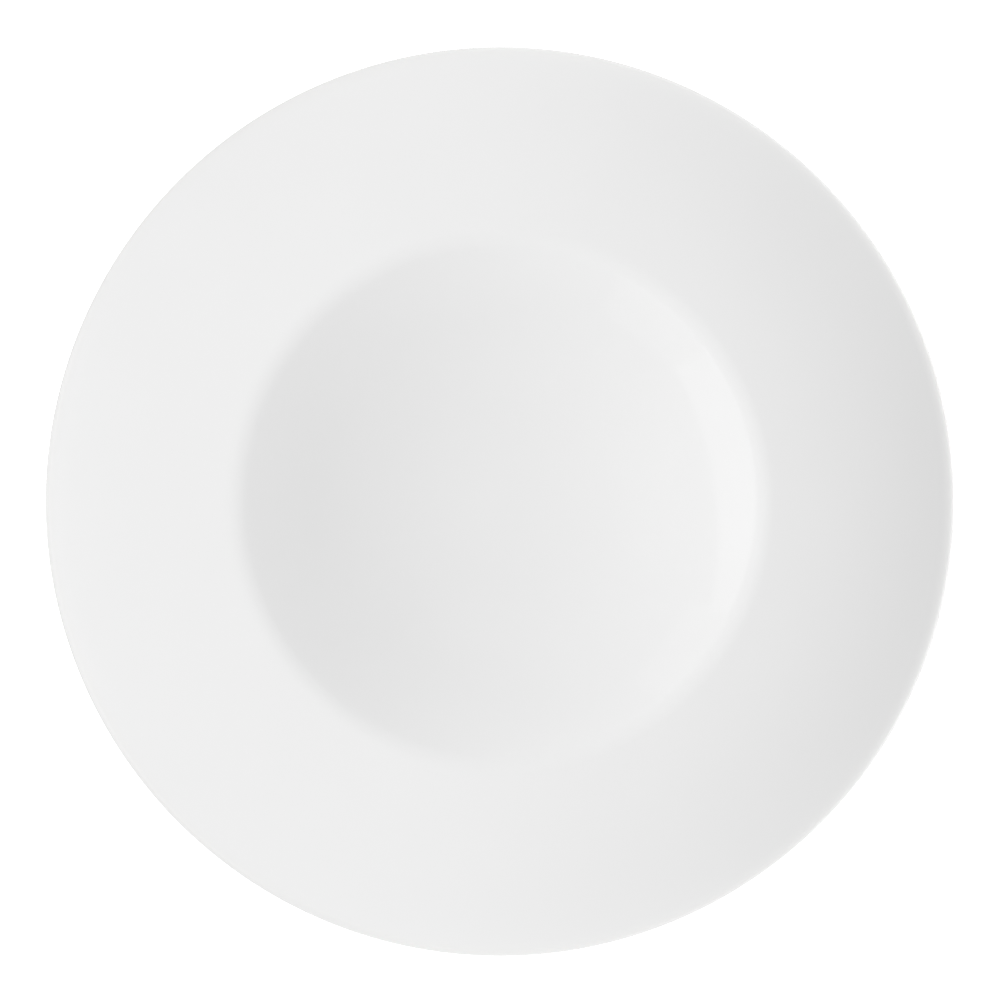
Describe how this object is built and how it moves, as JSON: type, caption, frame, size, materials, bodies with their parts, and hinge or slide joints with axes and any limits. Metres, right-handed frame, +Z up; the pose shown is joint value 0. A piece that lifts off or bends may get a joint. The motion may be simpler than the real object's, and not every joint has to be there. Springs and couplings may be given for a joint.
{
  "type": "rimmed pasta plate",
  "caption": "Round white glazed porcelain pasta plate with a deep well, a soft shoulder, a wide gently domed rim and an unglazed foot ring, for serving food.",
  "frame": {"origin": "on the plate's axis, in the plane of the foot ring's standing face", "axes": "+Z up along the plate's axis; X and Y lie in the table's plane and are alike"},
  "size_m": [0.285, 0.285, 0.0367],
  "materials": {
    "bare_porcelain": "unglazed, sandy, on the foot's standing face only",
    "face_glaze": "clear gloss over white porcelain",
    "base_glaze": "clear gloss over white porcelain"
  },
  "bodies": {
    "root": {"porcelain_body": "bare_porcelain", "face_glaze": "face_glaze", "base_glaze": "base_glaze"}
  },
  "joints": []
}
